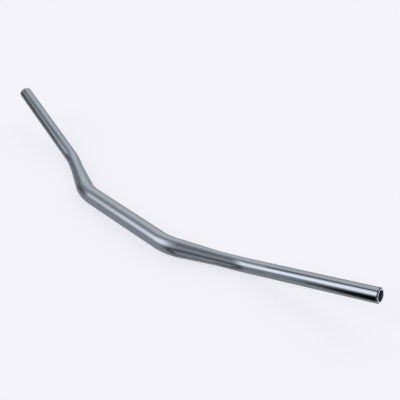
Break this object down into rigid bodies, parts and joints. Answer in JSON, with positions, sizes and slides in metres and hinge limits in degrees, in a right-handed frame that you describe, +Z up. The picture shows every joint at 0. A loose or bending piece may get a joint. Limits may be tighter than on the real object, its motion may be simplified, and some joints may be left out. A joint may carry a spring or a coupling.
{
  "type": "motorcycle handlebar",
  "caption": "One-piece bent tube handlebar, thick at the stem clamps and tapered to thinner grips, with hollow chamfered ends and a threaded insert inside each end.",
  "frame": {"origin": "middle of the clamp section, on the tube's centreline", "axes": "+X along the clamp axis towards the right grip, +Y back towards the rider, +Z up with the bar lying level on its centre section and its two outer bends"},
  "size_m": [0.8482, 0.1171, 0.066],
  "materials": {
    "satin_aluminium": "satin, cool grey anodised, brighter on the grips",
    "zinc_steel": "dull zinc plate"
  },
  "bodies": {
    "root": {"handlebar_tube": "satin_aluminium", "left_insert": "zinc_steel", "right_insert": "zinc_steel"}
  },
  "joints": []
}
